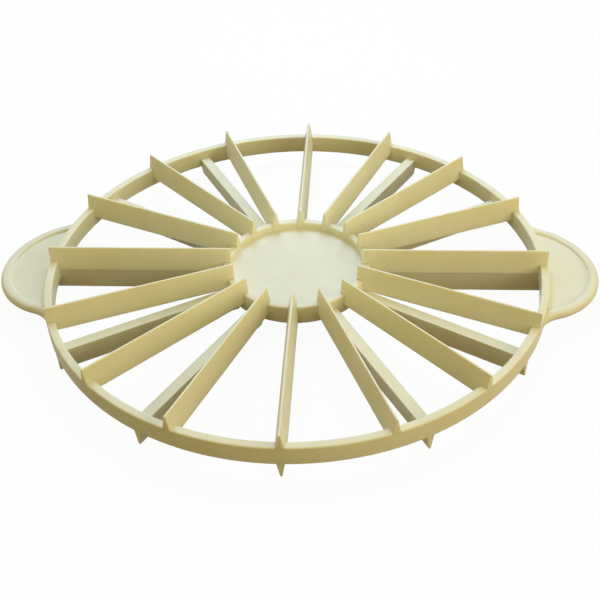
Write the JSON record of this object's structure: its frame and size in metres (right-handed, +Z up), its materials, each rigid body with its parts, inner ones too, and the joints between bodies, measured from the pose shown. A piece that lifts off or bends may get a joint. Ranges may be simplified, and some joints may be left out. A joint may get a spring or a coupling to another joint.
{
  "type": "tart marker",
  "caption": "Round two-sided pastry portion marker: a thin rim joined to a hub by straight wedge-shaped blades on both faces, with a flat beaded handle on each side.",
  "frame": {"origin": "centre of the plane that the lower blade edges stand on, on the hub axis", "axes": "+Z up along the hub axis, from the lower blades to the upper blades; +X through the right handle; +Y to the back"},
  "size_m": [0.3254, 0.27, 0.0268],
  "materials": {
    "ivory_plastic": "satin moulded ivory plastic"
  },
  "bodies": {
    "root": {"outer_rim": "ivory_plastic", "hub_ring": "ivory_plastic", "hub_floor": "ivory_plastic", "right_handle_bead": "ivory_plastic", "right_handle_plate": "ivory_plastic", "left_handle_bead": "ivory_plastic", "left_handle_plate": "ivory_plastic", "upper_blade_01": "ivory_plastic", "upper_blade_02": "ivory_plastic", "upper_blade_03": "ivory_plastic", "upper_blade_04": "ivory_plastic", "upper_blade_05": "ivory_plastic", "upper_blade_06": "ivory_plastic", "upper_blade_07": "ivory_plastic", "upper_blade_08": "ivory_plastic", "upper_blade_09": "ivory_plastic", "upper_blade_10": "ivory_plastic", "upper_blade_11": "ivory_plastic", "upper_blade_12": "ivory_plastic", "upper_blade_13": "ivory_plastic", "upper_blade_14": "ivory_plastic", "upper_blade_15": "ivory_plastic", "upper_blade_16": "ivory_plastic", "lower_blade_01": "ivory_plastic", "lower_blade_02": "ivory_plastic", "lower_blade_03": "ivory_plastic", "lower_blade_04": "ivory_plastic", "lower_blade_05": "ivory_plastic", "lower_blade_06": "ivory_plastic", "lower_blade_07": "ivory_plastic", "lower_blade_08": "ivory_plastic", "lower_blade_09": "ivory_plastic", "lower_blade_10": "ivory_plastic", "lower_blade_11": "ivory_plastic", "lower_blade_12": "ivory_plastic"}
  },
  "joints": []
}
